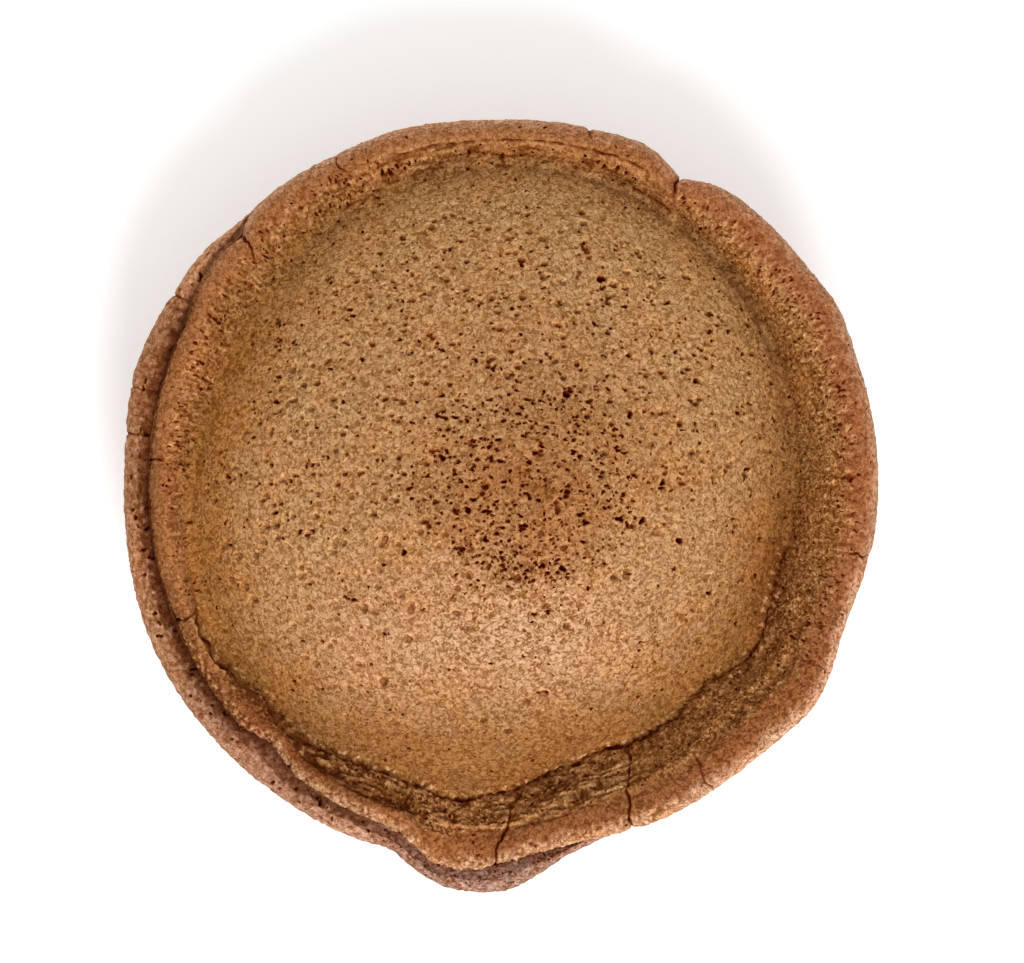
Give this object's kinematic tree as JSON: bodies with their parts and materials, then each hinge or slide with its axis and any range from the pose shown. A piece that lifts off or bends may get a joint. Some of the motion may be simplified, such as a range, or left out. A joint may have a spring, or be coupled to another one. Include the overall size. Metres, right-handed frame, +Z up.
{
  "type": "dorayaki",
  "caption": "Round sponge pancake sandwich: a high domed upper pancake with a ring crease and curled edge, sealed onto a shallow lower pancake.",
  "frame": {"origin": "middle of the whole outline, on the surface it rests on", "axes": "+Z up through the dome, -Y towards the pinched spout of the edge, +X to the right seen from above"},
  "size_m": [0.0908, 0.093, 0.0365],
  "materials": {
    "upper_crust": "matte baked sponge crust, brown, with fine pores",
    "lower_crust": "matte baked sponge crust, purplish brown, with fine pores"
  },
  "bodies": {
    "root": {"upper_pancake": "upper_crust", "lower_pancake": "lower_crust"}
  },
  "joints": []
}
